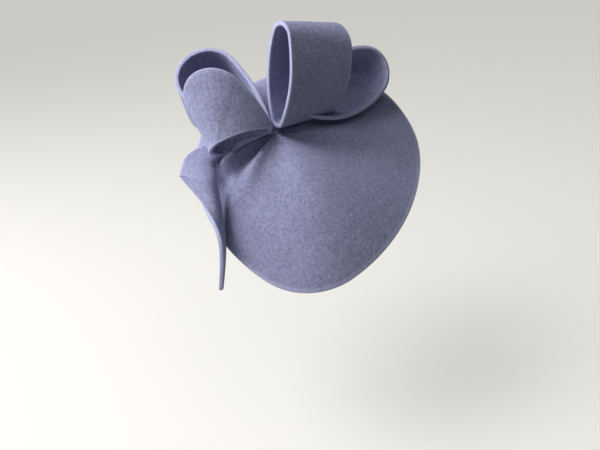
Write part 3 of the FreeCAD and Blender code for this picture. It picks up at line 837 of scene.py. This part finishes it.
def seat_point(x, y, z):
    """From the tab's own axes (along the comb, towards the teeth, up) to the flat drawing."""
    c, s = math.cos(COMB_SLOPE), math.sin(COMB_SLOPE)
    middle = np.array((*COMB_MIDDLE, 0.0))
    middle[2] = crown_height(*COMB_MIDDLE) - (FELT + TAB[2]) * slant(*COMB_MIDDLE)
    return np.stack([x, c * y - s * z, s * y + c * z], axis=-1) + middle


def make_tab():
    """The folded felt that fills the space between the crown and the comb."""
    along, across = (edge_steps(long, 0.9)[0] - long / 2 for long in TAB[:2])
    x, y = np.meshgrid(along, across, indexing="ij")
    from_cut = np.minimum(TAB[0] / 2 - np.abs(x), TAB[1] / 2 - np.abs(y))
    bottom = seat_point(x, y, np.zeros_like(x))
    top = bottom.copy()
    top[..., 2] = crown_height(top[..., 0], top[..., 1]) - (FELT + SEAM) * slant(top[..., 0], top[..., 1])
    share = rounded(from_cut, 2.2)[..., None]
    middle = (top + bottom) / 2
    sides = (middle + (top - middle) * share, middle + (bottom - middle) * share)
    piece = felt_from_grid("comb_tab_felt", middle, from_cut, False, felt, sides=sides)
    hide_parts("comb_tab")
    report(piece, "comb_tab")
    return piece


tab = make_tab()

# %% Comb metal
def wire_material(name):
    """Plated steel wire with faint drawing marks."""
    material, tree, shader = new_material(name)
    marks = noise(tree, 900, 3, 0.6, (0.15, 1, 1))
    tree.links.new(ramp(tree, marks, [(0.3, linear(168, 169, 174)), (0.7, linear(205, 206, 210))]),
                   shader.inputs["Base Color"])
    shader.inputs["Metallic"].default_value = 1.0
    tree.links.new(ramp(tree, marks, [(0.3, grey(0.22)), (0.7, grey(0.36))]),
                   shader.inputs["Roughness"])
    tree.links.new(bump(tree, marks, 0.15, 0.0001), shader.inputs["Normal"])
    return material


comb_wire = wire_material("plated_wire")
comb_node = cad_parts["hair_comb"]
comb_node.data.materials.clear()
comb_node.data.materials.append(comb_wire)
print("comb keeps its solid:", len(comb_node.data.polygons), "faces")

# %% Thread loops
THREAD = 0.7
SPINE = 2.2
COMB_PLAY = 0.1
COMB_LONG, TEETH, STITCHES = 42, 13, 4


def thread_material(name, colour):
    """Matt sewing thread."""
    material, tree, shader = new_material(name)
    fibre = noise(tree, 2500, 2, 0.6)
    dark = [part * 0.75 for part in colour[:3]] + [1]
    tree.links.new(ramp(tree, fibre, [(0.3, dark), (0.65, colour)]), shader.inputs["Base Color"])
    shader.inputs["Roughness"].default_value = 0.65
    shader.inputs["Sheen Weight"].default_value = 0.2
    tree.links.new(bump(tree, fibre, 0.4, 0.0001), shader.inputs["Normal"])
    return material


def twisted_ring(centre, radius, strands=2, turns=9, around=120, section=12):
    """Points and faces of a ring of twisted strands, in the tab's axes, round the X direction."""
    points, faces = [], []
    strand = THREAD / 2 / 1.75
    for which in range(strands):
        start = len(points)
        for i in range(around):
            a = 2 * math.pi * i / around
            out = np.array((0.0, math.cos(a), math.sin(a)))
            twist = turns * a + 2 * math.pi * which / strands
            side = np.array((1.0, 0, 0))
            lean = (out * math.cos(twist) + side * math.sin(twist)) * strand * 0.75
            middle = np.array(centre) + out * radius + lean
            for j in range(section):
                b = 2 * math.pi * j / section
                points.append(middle + (out * math.cos(b) + side * math.sin(b)) * strand)
        for i in range(around):
            for j in range(section):
                faces.append([start + i * section + j, start + (i + 1) % around * section + j,
                              start + (i + 1) % around * section + (j + 1) % section,
                              start + i * section + (j + 1) % section])
    return np.array(points), faces


def make_thread_loops():
    """Four loops of thread round the comb's spine, each between two teeth."""
    pitch = (COMB_LONG - SPINE) / (TEETH - 1)
    depth = SEAM + THREAD + COMB_PLAY + SPINE / 2
    radius = SPINE / 2 + COMB_PLAY + THREAD / 2
    all_points, all_faces = [], []
    for index in range(STITCHES):
        gap = round((index + 0.5) * (TEETH - 1) / STITCHES - 0.5)
        place = ((gap + 0.5 - (TEETH - 1) / 2) * pitch, 0, -depth)
        points, faces = twisted_ring(place, radius)
        first = sum(len(p) for p in all_points)
        all_points.append(points)
        all_faces += [[corner + first for corner in face] for face in faces]
    points = np.concatenate(all_points)
    mesh = bpy.data.meshes.new("comb_thread")
    mesh.from_pydata(worn(seat_point(*points.T)).tolist(), [], all_faces)
    piece = settle(mesh, "comb_thread", thread_material("sewing_thread", linear(104, 108, 142)))
    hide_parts("comb_stitches")
    report(piece, "comb_stitches")
    return piece


thread = make_thread_loops()

# %% [markdown]
# ## What each sheet was cut from
# A sheet keeps its area when it is bent. Each loop prints the strip that it was cut from as it is
# built, and the band's cut length is printed here.

print("the band was cut", round(band_length * 1000), "mm long")
